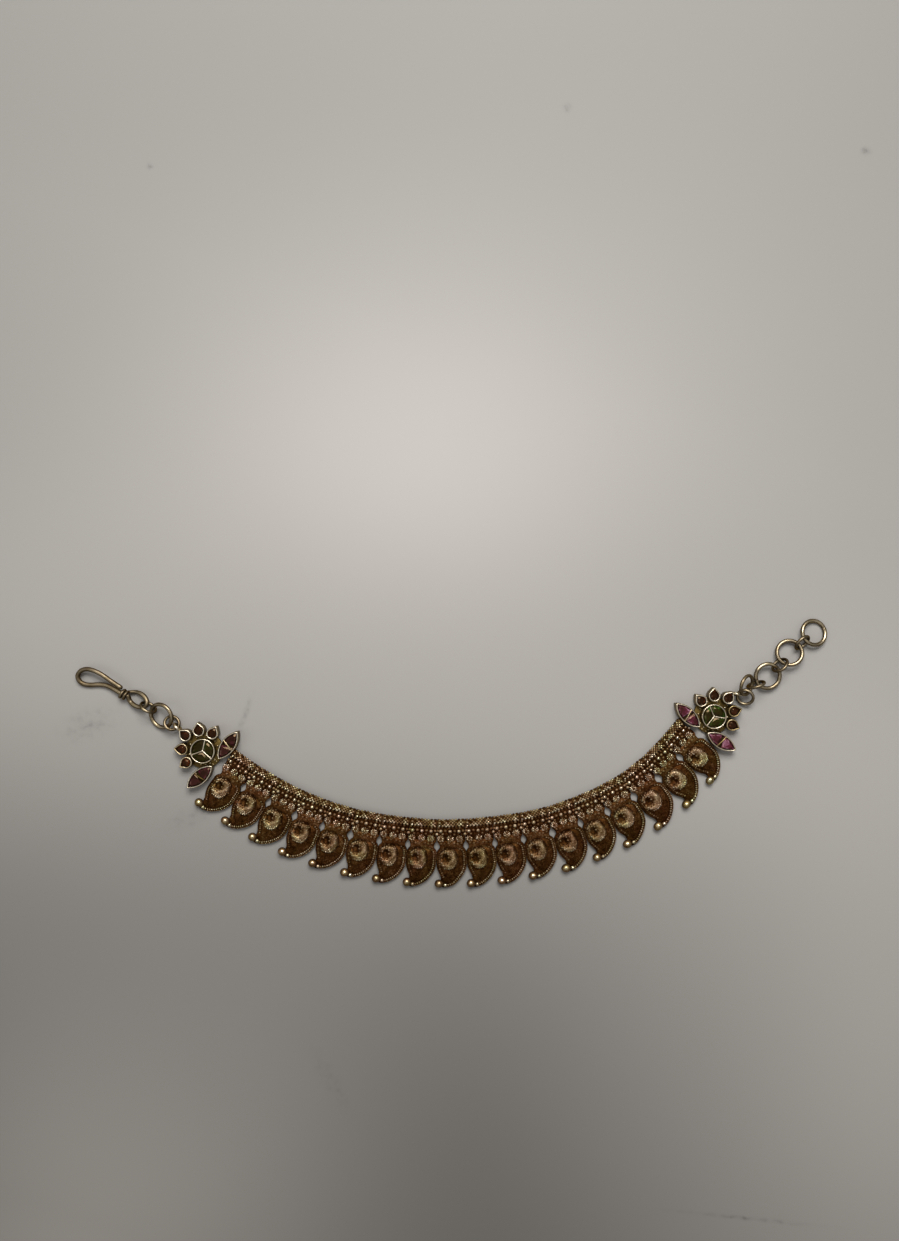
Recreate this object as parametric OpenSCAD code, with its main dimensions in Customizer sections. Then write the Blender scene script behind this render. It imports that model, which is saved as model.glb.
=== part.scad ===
// Ear chain. Eighteen mango links are threaded on one wire between two flower plates
// set with cut stones. A hook hangs from the left plate, a ring chain from the right one.
// It lies on its back on the table, z = 0. Millimetres and degrees.

/* [Band] */
// Distance from one mango link to the next along the ridge
link_pitch = 5.08; // [5.06:0.01:5.12]
// Outside diameter of the ridge tube of a link
ridge_d = 1.6; // [1.5:0.05:1.7]
// Gap between two ridge tubes
ridge_gap = 0.3; // [0.25:0.05:0.4]
// Diameter of the wire that carries the band
band_wire_d = 0.5; // [0.4:0.05:0.5]
// Bore for that wire in the ridge tubes and the end plates
bore_d = 0.66; // [0.62:0.02:0.7]

/* [Mango link] */
// Thickness of the mango base
mango_t = 0.9; // [0.8:0.05:1]
// Height of the raised mango rim above the table
rim_h = 1.35; // [1.2:0.05:1.5]
// Height of the leaf dome above the table
dome_h = 2; // [1.8:0.05:2.2]
// Diameter of the ball at the tail
tail_ball_d = 1.5; // [1.3:0.05:1.5]
// Diameter of one of the three small flowers
flower_d = 1.58; // [1.5:0.02:1.6]

/* [End plates] */
// Thickness of the backing of a flower plate
backing_t = 0.6; // [0.5:0.05:0.7]
// Height of the bezel walls above the table
bezel_h = 2.1; // [2.05:0.05:2.2]
// Thickness of the bezel walls
bezel_w = 0.3; // [0.25:0.05:0.35]
// Outside diameter of the round centre bezel
centre_d = 4.6; // [4.4:0.1:4.8]
// Gap between a stone and its bezel
stone_gap = 0.05; // [0.05:0.01:0.08]

/* [Rings and hook] */
// Wire of the large rings
ring_wire_d = 0.7; // [0.6:0.02:0.7]
// Wire of the small joining links
joint_wire_d = 0.54; // [0.46:0.02:0.54]
// Wire of the smaller ring next to the right plate
near_wire_d = 0.6; // [0.5:0.02:0.6]
// Wire of the hook
hook_wire_d = 0.84; // [0.78:0.02:0.84]
// Drawn-down end of the hook wire, wound as the collar
collar_wire_d = 0.56; // [0.5:0.02:0.56]

/* [Hidden] */
$fn = 40;
seat_z = 1.4;
axis_z = 0.77;
// How far the middle of a ridge tube lies beyond its bore, away from the mango
ridge_shift = 0.2;
// Mean radius of a large ring
ring_r = 2.25;
// Bails on the plates: x, y, z, turn of the loop, mean radius; and their wire
left_bail = [6.45, 0, 1.1, 0, 0.8];
right_bail = [5.93, -0.91, 1.15, -62, 0.85];
bail_wire_d = 0.56;
// Half length and half width of a leaf bezel, and the slant of its divider
leaf_a = 3.15;
leaf_b = 1.38;
leaf_slant = 16;
// Round part of a teardrop bezel and the reach of its point
drop_r = 1.08;
drop_tip = 1.62;
// Middle of everything in the drawing coordinates below
middle = [-0.075, -0.152];

// Heading of each mango link, from the hook end to the ring end
headings = [-35, -31, -27, -21, -17, -11, -7, -4, 1, 5, 8, 12, 19, 23, 29, 37, 45, 50];
band_start = [-40.54, -0.14];

// Flower plates: x, y, outward heading, side of the leaf that takes the wire
left_plate_at = [-45.76, 0.42, 138];
right_plate_at = [47.88, 6.74, 52];

// Teardrops of a plate: angle from the outward heading, distance of the round part
petals = [[0, 4.25], [37, 3.8], [-37, 3.8], [77, 3.65], [-77, 3.65]];

// Large rings: x, y, z, heading, lean along it, roll about it
ring_a = [66.52, 22.07, 0.9, 41.1, -13.3, -0.8];
ring_b = [61.94, 18.41, 1.23, 43.2, -2.7, -10.7];
ring_c = [57.92, 14.12, 1.25, 30.2, 0.1, 6.2];
ring_e = [-53.45, 6.82, 1.45, -34.3, 7.8, 24];

// Smaller ring and joining links: x, y, z, heading, lean, roll, mean radius
ring_d = [53.67, 12.52, 2.44, 44, -22.1, 37.7, 1.8];
joint_ab = [64.17, 20.27, 1.44, 28.6, -11.3, 51.6, 1.45];
joint_bc = [60.04, 16.14, 1.64, 46.1, -4.7, 111.3, 1.45];
joint_cd = [55.59, 12.58, 1.78, 20, -2.5, 97.7, 1.5];
joint_d_plate = [53.72, 10.27, 1.38, -15, 16.6, 26.6, 1.4];
joint_e_plate = [-51.57, 5.49, 1.21, 261.3, 33.4, -20.1, 1.3];
joint_e_hook = [-55.78, 8.4, 1.62, -31, -5.1, 108.4, 1.4];

// Outline of a mango, x along the ridge, y up to the ridge
mango_edge = [
  [0, -3.8], [1.2, -3.88], [2.1, -4.3], [2.52, -5], [2.66, -5.7], [2.69, -6.5], [2.64, -7.7], [2.27, -8.9],
  [1.56, -9.95], [0.66, -10.85], [-0.4, -11.5], [-1.5, -11.75], [-2.15, -11.3], [-1.65, -10.4],
  [-1.55, -9.6], [-1.9, -8.8], [-2.35, -7.9], [-2.57, -6.9], [-2.58, -5.8], [-2.42, -5],
  [-2.05, -4.3], [-1.15, -3.88]
];

// Sunk floor inside the rim
mango_floor = [
  [0, -4.3], [1, -4.38], [1.75, -4.8], [2.1, -5.5], [2.22, -6.6], [2.17, -7.6], [1.82, -8.7],
  [1.22, -9.6], [0.42, -10.4], [-0.4, -10.95], [-0.95, -10.6], [-1.05, -9.7], [-1.4, -8.8],
  [-1.88, -7.8], [-2.1, -6.8], [-2.05, -5.8], [-1.7, -4.9], [-0.9, -4.4]
];

// Throat between the flowers and the mango
throat = [
  [-2.3, -2.9], [2.3, -2.9], [2.16, -3.4], [2.1, -4], [2.2, -4.6], [-2.15, -4.6], [-2.06, -4],
  [-2.14, -3.4]
];

// Hook wire from its free end round the bend to the collar: x, y, z
hook_leg = [
  [-60.9, 12.1, 1.6], [-61.8, 12.68, 1.62], [-63, 13.5, 1.64], [-64.3, 14.42, 1.66],
  [-65.7, 15.1, 1.62], [-67.08, 15.41, 1.45], [-68.31, 15.07, 1.15], [-69.04, 14.11, 0.8],
  [-68.73, 13.12, 0.56], [-67.9, 12.59, 0.46], [-66.71, 12.44, 0.44], [-65.41, 12.52, 0.46],
  [-64.1, 12.4, 0.52], [-62.94, 12, 0.66], [-61.85, 11.42, 0.86]
];
// Collar: start and end of the straight shank inside it
shank_a = [-60.96, 10.95, 1.05];
shank_b = [-59.7, 10.45, 1.06];
// Eye: middle, heading, lean, roll, half length, half width
eye_at = [-57.92, 9.79, 0.96];
eye_turn = [-3, -14.3, -27.3];
eye_a = 2.05;
eye_b = 1.2;

stone_names = [
  for (s = ["left", "right"]) for (k = [
    "green_1", "green_2", "green_3", "garnet_1", "garnet_2", "garnet_3", "garnet_4",
    "garnet_5", "purple_1", "purple_2", "purple_3", "purple_4"
  ]) str(s, "_", k)
];

function link_name(i) = str("mango_", i < 10 ? "0" : "", i);
function dir(a) = [cos(a), sin(a)];
function band_pt(i) = i == 0 ? band_start : band_pt(i - 1) + link_pitch * dir(headings[i - 1]);
function unit(v) = v / norm(v);
function curve(a, b, c, d, t) =
  0.5 * (2 * b + (c - a) * t + (2 * a - 5 * b + 4 * c - d) * t * t
  + (3 * b - 3 * c + d - a) * t * t * t);
function closed_curve(p, n) = let (m = len(p))
  [for (i = [0:m - 1]) for (k = [0:n - 1])
    curve(p[(i + m - 1) % m], p[i], p[(i + 1) % m], p[(i + 2) % m], k / n)];
function open_curve(p, n) = let (m = len(p)) concat(
  [for (i = [0:m - 2]) for (k = [0:n - 1])
    curve(p[max(i - 1, 0)], p[i], p[i + 1], p[min(i + 2, m - 1)], k / n)],
  [p[m - 1]]);

// Wire along the points p, drawn with n flat sides; d is one diameter or one for each point
module bent_wire(p, d, n) {
  m = len(p);
  r = [for (i = [0:m - 1]) (is_list(d) ? d[i] : d) / 2];
  t = [for (i = [0:m - 1]) unit(p[min(i + 1, m - 1)] - p[max(i - 1, 0)])];
  side = [for (i = 0, v = unit(cross(t[0], [0, 0, 1])); i < m;
    i = i + 1, v = i < m ? unit(v - (v * t[i]) * t[i]) : v) v];
  pts = [for (i = [0:m - 1]) for (k = [0:n - 1])
    p[i] + r[i] * (cos(360 * k / n) * side[i] + sin(360 * k / n) * cross(t[i], side[i]))];
  skin = [for (i = [0:m - 2]) for (k = [0:n - 1]) let (
    a = i * n + k, b = i * n + (k + 1) % n) for (f = [[a, b, b + n], [a, b + n, a + n]]) f];
  polyhedron(pts, concat(
    [[for (k = [0:n - 1]) n - 1 - k]],
    [for (f = skin) [f[0], f[1], f[2]]],
    [[for (k = [0:n - 1]) (m - 1) * n + k]]), 4);
}

// Mango link: ridge tube, granules, three flowers, and the mango below them
module flower() {
  linear_extrude(0.95) {
    circle(d = 0.5 * flower_d);
    for (a = [0:60:300]) rotate(a) translate([flower_d / 2 - 0.3, 0]) circle(r = 0.3);
  }
  translate([0, 0, 0.95]) sphere(r = 0.3);
}

module mango_body() {
  translate([0, 0, 0.1]) linear_extrude(mango_t - 0.1)
    polygon(closed_curve(mango_edge, 2));
  translate([0, 0, 0.5]) linear_extrude(rim_h - 0.5)
    difference() {
      polygon(closed_curve(mango_edge, 2));
      polygon(closed_curve(mango_floor, 2));
    }
  intersection() {
    translate([-0.2, -6.35, 0.7]) scale([1.6, 2.05, dome_h - 0.7]) sphere(r = 1);
    translate([-3, -9, 0.4]) cube([6, 5, 3]);
  }
  translate([-2.2, -10.95, tail_ball_d / 2 + 0.03]) sphere(d = tail_ball_d);
  translate([-1.1, -11.1, rim_h - 0.05]) sphere(r = 0.36);
}

module mango_link() {
  len_x = link_pitch - ridge_gap;
  difference() {
    union() {
      translate([-len_x / 2, ridge_shift, ridge_d / 2 + 0.02]) rotate([0, 90, 0])
        cylinder(d = ridge_d, h = len_x);
      translate([-2.4, -2.5, 0.25]) cube([4.8, 2.3, 0.65]);
      translate([0, 0, 0.3]) linear_extrude(0.55) polygon(throat);
      for (x = [-1.62, 0, 1.62]) translate([x, -2.72, 0.25]) flower();
      for (x = [-1.95, -0.98, 0, 0.98, 1.95]) translate([x, -0.78, 0.95]) sphere(r = 0.27);
      for (x = [-1.7, -0.1, 1.5]) translate([x, -1.32, 0.98]) sphere(r = 0.36);
      for (x = [-2.05, -0.85, 0.65, 2.05]) translate([x, -1.9, 0.9]) sphere(r = 0.27);
      mango_body();
    }
    translate([-link_pitch, 0, axis_z]) rotate([0, 90, 0]) cylinder(d = bore_d, h = 2 * link_pitch);
  }
}

module place_link(i) {
  p = (band_pt(i - 1) + band_pt(i)) / 2;
  translate([p[0], p[1], 0]) rotate(headings[i - 1]) mango_link();
}

// Wire through the ridges with a round head in each plate
function head_at(k) = k == 0 ? band_pt(0) - 1.75 * dir(headings[0]) : band_pt(18) + 1.8 * dir(headings[17]);

module rod(a, b, d) {
  v = [b[0] - a[0], b[1] - a[1]];
  translate([a[0], a[1], axis_z]) rotate(atan2(v[1], v[0])) rotate([0, 90, 0]) cylinder(d = d, h = norm(v));
}

// Head: distance from its middle along the wire, diameter
head_shape = [[-0.42, 0.12], [-0.36, 0.44], [-0.2, 0.74], [0, 0.84], [0.2, 0.74], [0.33, 0.52]];

module band_wire() {
  to_band = [dir(headings[0]), -dir(headings[17])];
  last = len(head_shape) - 1;
  first = [for (h = head_shape) head_at(0) + h[0] * to_band[0]];
  final = [for (i = [last:-1:0]) head_at(1) + head_shape[i][0] * to_band[1]];
  path = concat(first, [for (i = [0:18]) band_pt(i)], final);
  bent_wire([for (q = path) [q[0], q[1], axis_z]], concat(
    [for (h = head_shape) h[1]],
    [for (i = [0:18]) band_wire_d],
    [for (i = [last:-1:0]) head_shape[i][1]]), 8);
}

// Flower plate, outward along x
module teardrop(r, tip) {
  a = acos(r / tip) - 4;
  circle(r = r);
  polygon([[r * cos(a), r * sin(a)], [tip, 0], [r * cos(a), -r * sin(a)]]);
}

module leaf_shape(w) {
  r = (leaf_a * leaf_a + leaf_b * leaf_b) / (2 * leaf_b);
  intersection() {
    translate([0, r - leaf_b]) circle(r = r - w, $fn = 96);
    translate([0, leaf_b - r]) circle(r = r - w, $fn = 96);
  }
}

module petal_at(p) {
  rotate(p[0]) translate([p[1], 0]) children();
}

module leaf_at(s) {
  mirror([0, s < 0 ? 1 : 0]) translate([-2.76, 3.88]) rotate(83) children();
}

module plate_outline() {
  circle(r = 3.4);
  for (p = petals) petal_at(p) teardrop(drop_r, drop_tip);
  for (s = [1, -1]) leaf_at(s) leaf_shape(0);
}

module bezels() {
  circle(d = centre_d);
  for (p = petals) petal_at(p) teardrop(drop_r, drop_tip);
  for (s = [1, -1]) leaf_at(s) leaf_shape(0);
}

module stone_pockets() {
  difference() {
    circle(d = centre_d - 2 * bezel_w);
    for (a = [60, 180, 300]) rotate(a) translate([0, -0.14]) square([centre_d, 0.28]);
  }
  for (p = petals) petal_at(p) teardrop(drop_r - bezel_w, drop_tip - 1.5 * bezel_w);
  for (s = [1, -1]) leaf_at(s) difference() {
    leaf_shape(bezel_w);
    rotate(-leaf_slant) translate([-0.15, -leaf_b]) square([0.3, 2 * leaf_b]);
  }
}

module plate_metal(at, k) {
  h = head_at(k);
  bail = k == 0 ? left_bail : right_bail;
  difference() {
    translate([at[0], at[1], 0]) rotate(at[2]) {
      linear_extrude(backing_t) plate_outline();
      difference() {
        translate([0, 0, 0.3]) linear_extrude(bezel_h - 0.3) bezels();
        translate([0, 0, seat_z]) linear_extrude(2) stone_pockets();
      }
      translate([bail[0], bail[1], bail[2]]) rotate([90, 0, bail[3]]) rotate_extrude()
        translate([bail[4], 0]) circle(d = bail_wire_d);
    }
    translate([h[0], h[1], -1]) cylinder(d = 1.1, h = 2.26);
    rod(h, k == 0 ? band_pt(1) : band_pt(17), bore_d);
  }
}

// Cut stone from its outline p: point of the shape c, girdle, crown and table
module cut_stone(p, c) {
  m = len(p);
  low = [for (q = p) c + 0.72 * (q - c)];
  top = [for (q = p) c + 0.6 * (q - c)];
  ring = function (q, z) [for (v = q) [v[0], v[1], z]];
  translate([0, 0, seat_z + 0.06])
    polyhedron(concat(ring(low, 0), ring(p, 0.42), ring(top, 0.78)), concat(
      [[for (i = [0:m - 1]) i]],
      [for (k = [0, 1]) for (i = [0:m - 1])
        [k * m + i, k * m + m + i, k * m + m + (i + 1) % m, k * m + (i + 1) % m]],
      [[for (i = [0:m - 1]) 3 * m - 1 - i]]), 4);
}

module green_stone(k) {
  r = centre_d / 2 - bezel_w - stone_gap;
  g = 0.14 + stone_gap;
  b = asin(g / r);
  rotate(120 * k) cut_stone(concat(
    [[g / sin(60), 0]],
    [for (i = [0:6]) r * dir(-60 + b + i * (120 - 2 * b) / 6)]), [1.05, 0]);
}

module garnet_stone(k) {
  r = drop_r - bezel_w - stone_gap;
  tip = drop_tip - 1.5 * bezel_w - 1.5 * stone_gap;
  a = acos(r / tip);
  petal_at(petals[k]) cut_stone(concat(
    [[tip, 0]],
    [for (i = [0:8]) r * dir(a + i * (360 - 2 * a) / 8)]), [0.1, 0]);
}

module purple_stone(s, end) {
  r = (leaf_a * leaf_a + leaf_b * leaf_b) / (2 * leaf_b);
  c = r - leaf_b;
  q = r - bezel_w - stone_gap;
  a = sqrt(q * q - c * c);
  x0 = (0.15 + stone_gap) / cos(leaf_slant);
  edge = function (x) sqrt(q * q - x * x) - c;
  x_up = x0 + 0.97 * edge(x0) * tan(leaf_slant);
  x_dn = x0 - 0.97 * edge(x0) * tan(leaf_slant);
  up = [x_up, 1.3, 2];
  dn = [2, 1.3, 0.7, x_dn];
  leaf_at(s) rotate(end > 0 ? 0 : 180) cut_stone(concat(
    [for (x = up) [x, edge(x)]], [[a, 0]], [for (x = dn) [x, -edge(x)]]), [1.15, 0]);
}

module stone(side, k) {
  at = side == 0 ? left_plate_at : right_plate_at;
  translate([at[0], at[1], 0]) rotate(at[2]) {
    if (k < 3) green_stone(k);
    else if (k < 8) garnet_stone(k - 3);
    else purple_stone(k < 10 ? 1 : -1, k % 2 == 0 ? 1 : -1);
  }
}

// Ring of mean radius r lying as the row says
module wire_ring(row, r, d) {
  translate([row[0], row[1], row[2]]) rotate([row[5], -row[4], row[3]])
    rotate_extrude() translate([r, 0]) circle(d = d);
}

// Hook: leg, shank, eye, and the end wound round the shank as a collar
function eye_pt(a) = let (
  x = eye_a * cos(a), y = eye_b * sin(a), l = -eye_turn[1], h = eye_turn[2], r = eye_turn[0],
  e = [cos(h) * cos(l), sin(h) * cos(l), sin(l)], s = [-sin(h), cos(h), 0], u = cross(e, s))
  eye_at + x * e + y * (cos(r) * s + sin(r) * u);

module hook() {
  ax = unit(shank_b - shank_a);
  n1 = unit(cross(ax, [0, 0, 1]));
  n2 = cross(n1, ax);
  gap_r = (hook_wire_d + collar_wire_d) / 2 + 0.03;
  wound = [for (k = [0:12]) let (a = 200 - 52 * k)
    shank_b - ax * (0.2 + k * 0.1) + gap_r * (cos(a) * n1 + sin(a) * n2)];
  leg = open_curve(concat(hook_leg, [shank_a, shank_b]), 2);
  loop = open_curve(concat([shank_b], [for (a = [-125:31.25:125]) eye_pt(a)], [wound[0]]), 2);
  last = len(loop) - 1;
  bent_wire(concat(leg, [for (i = [1:last - 1]) loop[i]], wound), concat(
    [for (p = leg) hook_wire_d],
    [for (i = [1:last - 1])
      hook_wire_d - (hook_wire_d - collar_wire_d) * max(0, 4 * i / last - 3)],
    [for (p = wound) collar_wire_d]), 8);
}

translate([-middle[0], -middle[1], 0]) {
  for (i = [1:18])
    color("goldenrod") place_link(i);
  color("darkgoldenrod") plate_metal(left_plate_at, 0);  // left_plate
  color("darkgoldenrod") plate_metal(right_plate_at, 1);  // right_plate
  color("peru") band_wire();
  color("khaki") hook();
  color("khaki") wire_ring(ring_a, ring_r, ring_wire_d);
  color("khaki") wire_ring(ring_b, ring_r, ring_wire_d);
  color("khaki") wire_ring(ring_c, ring_r, ring_wire_d);
  color("khaki") wire_ring(ring_d, ring_d[6], near_wire_d);
  color("khaki") wire_ring(ring_e, ring_r, ring_wire_d);
  color("gold") wire_ring(joint_ab, joint_ab[6], joint_wire_d);
  color("gold") wire_ring(joint_bc, joint_bc[6], joint_wire_d);
  color("gold") wire_ring(joint_cd, joint_cd[6], joint_wire_d);
  color("gold")
    wire_ring(joint_d_plate, joint_d_plate[6], joint_wire_d);
  color("gold")
    wire_ring(joint_e_plate, joint_e_plate[6], joint_wire_d);
  color("gold")
    wire_ring(joint_e_hook, joint_e_hook[6], joint_wire_d);
  for (i = [0:23])
    color(i % 12 < 3 ? "darkgreen" : i % 12 < 8 ? "darkred" : "purple") stone(floor(i / 12), i % 12);
}
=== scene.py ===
"""Ear chain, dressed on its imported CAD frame.

Every detailed piece is drawn in millimetres in the drawing's coordinates and then put into the
row frame in metres.
"""
import functools
import math
import random

import bpy
import numpy as np
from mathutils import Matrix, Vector


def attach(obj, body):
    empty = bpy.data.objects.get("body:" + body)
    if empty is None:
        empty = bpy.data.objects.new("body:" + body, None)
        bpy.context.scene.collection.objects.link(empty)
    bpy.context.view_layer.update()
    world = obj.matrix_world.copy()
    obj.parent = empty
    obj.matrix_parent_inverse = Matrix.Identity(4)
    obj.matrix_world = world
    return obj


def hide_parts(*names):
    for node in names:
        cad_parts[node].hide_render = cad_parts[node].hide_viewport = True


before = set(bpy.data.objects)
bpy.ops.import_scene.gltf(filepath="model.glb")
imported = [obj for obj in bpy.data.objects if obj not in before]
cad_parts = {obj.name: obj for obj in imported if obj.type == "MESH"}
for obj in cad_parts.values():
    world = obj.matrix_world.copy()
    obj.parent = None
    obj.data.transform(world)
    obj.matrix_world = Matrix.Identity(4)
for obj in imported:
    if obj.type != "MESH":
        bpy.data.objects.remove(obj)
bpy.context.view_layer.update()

MM = 0.001
rng = random.Random(11)

# Camera and picture

scene = bpy.context.scene
scene.view_settings.view_transform = "Standard"
scene.view_settings.look = "None"

cam_data = bpy.data.cameras.new("camera")
cam_data.lens = 27.12
cam_data.sensor_width = 36
cam_data.sensor_fit = "AUTO"
cam_data.clip_start = 0.01
cam_data.clip_end = 10
camera = bpy.data.objects.new("camera", cam_data)
camera.location = (-0.48 * MM, 24.48 * MM, 173 * MM)
scene.collection.objects.link(camera)
scene.camera = camera

# Drawing coordinates

MIDDLE = np.array([-0.075, -0.152, 0.0])
PITCH = 5.08
HEADINGS = [-35, -31, -27, -21, -17, -11, -7, -4, 1, 5, 8, 12, 19, 23, 29, 37, 45, 50]


def heading_dir(deg):
    """Unit direction in the plane of the table."""
    return np.array([math.cos(math.radians(deg)), math.sin(math.radians(deg)), 0.0])


# the joints between the links, along the band
BAND = [np.array([-40.54, -0.14, 0.0])]
for _h in HEADINGS:
    BAND.append(BAND[-1] + PITCH * heading_dir(_h))


def turn(roll, pitch, heading):
    """Rotation about x, then y, then z, in degrees."""
    r, p, h = (math.radians(v) for v in (roll, pitch, heading))
    rx = np.array([[1, 0, 0], [0, math.cos(r), -math.sin(r)], [0, math.sin(r), math.cos(r)]])
    ry = np.array([[math.cos(p), 0, math.sin(p)], [0, 1, 0], [-math.sin(p), 0, math.cos(p)]])
    rz = np.array([[math.cos(h), -math.sin(h), 0], [math.sin(h), math.cos(h), 0], [0, 0, 1]])
    return rz @ ry @ rx


def catmull(points, n, closed=True):
    """Catmull-Rom curve through the points, n steps from one to the next."""
    p = np.asarray(points, float)
    m = len(p)
    out = []
    for i in range(m if closed else m - 1):
        if closed:
            a, b, c, d = p[i - 1], p[i], p[(i + 1) % m], p[(i + 2) % m]
        else:
            a, b, c, d = p[max(i - 1, 0)], p[i], p[i + 1], p[min(i + 2, m - 1)]
        for k in range(n):
            t = k / n
            out.append(0.5 * (2 * b + (c - a) * t + (2 * a - 5 * b + 4 * c - d) * t * t
                              + (3 * b - 3 * c + d - a) * t ** 3))
    if not closed:
        out.append(p[-1])
    return np.array(out)


def even(loop, step):
    """The same closed line with points at an even distance."""
    p = np.asarray(loop, float)
    p = np.vstack([p, p[:1]])
    run = np.concatenate([[0], np.cumsum(np.linalg.norm(np.diff(p, axis=0), axis=1))])
    at = np.linspace(0, run[-1], max(3, round(run[-1] / step)), endpoint=False)
    return np.stack([np.interp(at, run, p[:, k]) for k in range(p.shape[1])], 1)


def anticlockwise(p):
    """Whether a closed flat line runs that way, from the sign of its area."""
    return np.sum(p[:, 0] * np.roll(p[:, 1], -1) - np.roll(p[:, 0], -1) * p[:, 1]) > 0


def outward(loop):
    """Unit normals of a closed flat line, to its outside."""
    p = np.asarray(loop, float)[:, :2]
    d = np.roll(p, -1, 0) - np.roll(p, 1, 0)
    d /= np.linalg.norm(d, axis=1)[:, None]
    side = 1 if anticlockwise(p) else -1
    return np.stack([d[:, 1] * side, -d[:, 0] * side], 1)


def one_way(loop):
    """A closed flat line running anticlockwise, so that its walls face out."""
    p = np.asarray(loop, float)
    return p if anticlockwise(p) else p[::-1]


def inset(loop, by):
    """A closed flat line moved to its inside."""
    return np.asarray(loop)[:, :2] - by * outward(loop)


def circle(r, n):
    """Points of a circle about the origin."""
    a = np.linspace(0, 2 * math.pi, n, endpoint=False)
    return np.column_stack([r * np.cos(a), r * np.sin(a)])


# Mesh building

# rings of a wire's domed end, to its tip: distance and radius over the wire's radius
DOME = ((0.5, 0.866), (0.87, 0.5), (0.98, 0.17))


def quad_grid(rows, columns, wrap_rows=False, wrap_columns=True):
    """Faces between the points of a grid numbered row by row, which can close on itself."""
    i, k = np.meshgrid(np.arange(rows if wrap_rows else rows - 1),
                       np.arange(columns if wrap_columns else columns - 1), indexing="ij")
    j, n = (i + 1) % rows, (k + 1) % columns
    quads = [i * columns + k, i * columns + n, j * columns + n, j * columns + k]
    return np.stack(quads, -1).reshape(-1, 4)


class Parts:
    """Closed forms gathered into one mesh. Each point has a tone: 0 in the patina, 1 polished."""

    def __init__(self):
        self.points, self.tones, self.quads, self.tris, self.faces = [], [], [], [], []
        self.count = 0

    def add(self, points, quads=(), tris=(), faces=(), tone=1.0):
        points = np.asarray(points, float)
        self.points.append(points)
        self.tones.append(np.broadcast_to(np.asarray(tone, float), (len(points),)))
        if len(quads):
            self.quads.append(np.asarray(quads, int) + self.count)
        if len(tris):
            self.tris.append(np.asarray(tris, int) + self.count)
        for f in faces:
            self.faces.append([i + self.count for i in f])
        self.count += len(points)

    def data(self):
        """All points, their tones and the faces."""
        faces = []
        for block in self.quads + self.tris:
            faces += block.tolist()
        return np.vstack(self.points), np.concatenate(self.tones), faces + self.faces

    def ball(self, centre, radius, tone=1.0, seg=12, rings=7, axes=None):
        """Ball or ellipsoid; radius is a number or three half axes along axes."""
        pts, quads, tris = globe(seg, rings)
        pts = pts * np.asarray(radius, float)
        if axes is not None:
            pts = pts @ np.asarray(axes).T
        self.add(pts + np.asarray(centre, float), quads, tris, tone=tone)

    def tube(self, path, radius, tone=1.0, seg=10, closed=False):
        """Round wire along a path; the ends of an open one are domed."""
        p = np.asarray(path, float)
        m = len(p)
        r = np.broadcast_to(np.asarray(radius, float), (m,)).copy()
        tones = np.broadcast_to(np.asarray(tone, float), (m,)).copy()
        if closed:
            t = np.roll(p, -1, 0) - np.roll(p, 1, 0)
        else:
            t = np.vstack([p[1] - p[0], p[2:] - p[:-2], p[-1] - p[-2]])
            first, last = (v / np.linalg.norm(v) for v in (t[0], t[-1]))
            p = np.vstack([[p[0] - first * r[0] * a for a, _ in DOME[::-1]], p,
                           [p[-1] + last * r[-1] * a for a, _ in DOME]])
            r = np.concatenate([[r[0] * b for _, b in DOME[::-1]], r, [r[-1] * b for _, b in DOME]])
            t = np.pad(t, ((len(DOME), len(DOME)), (0, 0)), "edge")
            tones = np.pad(tones, len(DOME), "edge")
            m = len(p)
        t = t / np.linalg.norm(t, axis=1)[:, None]
        side = np.cross(t[0], [0, 0, 1.0])
        if np.linalg.norm(side) < 1e-3:
            side = np.array([0, 1.0, 0])
        sides = []
        for i in range(m):
            side = side - np.dot(side, t[i]) * t[i]
            side /= np.linalg.norm(side)
            sides.append(side)
        sides = np.array(sides)
        ups = np.cross(t, sides)
        if closed:
            # the frame's twist over one round is shared out along the line
            end = sides[-1] - np.dot(sides[-1], t[0]) * t[0]
            twist = math.atan2(np.dot(end, ups[0]), np.dot(end, sides[0]))
            a = -twist * np.arange(m) / m
            sides, ups = (np.cos(a)[:, None] * sides + np.sin(a)[:, None] * ups,
                          -np.sin(a)[:, None] * sides + np.cos(a)[:, None] * ups)
        a = np.linspace(0, 2 * math.pi, seg, endpoint=False)
        spokes = (np.cos(a)[None, :, None] * sides[:, None]
                  + np.sin(a)[None, :, None] * ups[:, None])
        pts = p[:, None] + r[:, None, None] * spokes
        ends = () if closed else ([seg - 1 - q for q in range(seg)],
                                  [(m - 1) * seg + q for q in range(seg)])
        self.add(pts.reshape(-1, 3), quad_grid(m, seg, wrap_rows=closed), faces=ends,
                 tone=np.repeat(tones, seg))

    def slab(self, outline, low, high, soft=0.08, tone=1.0, top_tone=None, crown=0.0):
        """Plate with a softened top edge. crown lifts the middle of its top."""
        p = one_way(outline)[:, :2]
        n = outward(p)
        m = len(p)
        steps = [(0, low), (0, high - soft), (0.3 * soft, high - 0.3 * soft), (soft, high)]
        pts = np.vstack([np.column_stack([p - n * w, np.full(m, z)]) for w, z in steps])
        tones = np.full(len(pts), tone, float)
        if top_tone is not None:
            tones[2 * m:] = top_tone
        middle = np.append(np.mean(p, 0), high + crown)[None]
        tris = np.array([[3 * m + a, 3 * m + (a + 1) % m, 4 * m] for a in range(m)])
        self.add(np.vstack([pts, middle]), quad_grid(len(steps), m), tris,
                 faces=[list(range(m))[::-1]], tone=np.append(tones, tones[-1]))

    def wall(self, path, width, low, high, tone=1.0, foot=0.5, slope=0.03):
        """Bezel wall along a closed flat line, with a rounded bright lip."""
        p = one_way(path)[:, :2]
        n = outward(p)
        m, w = len(p), width / 2
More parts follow.
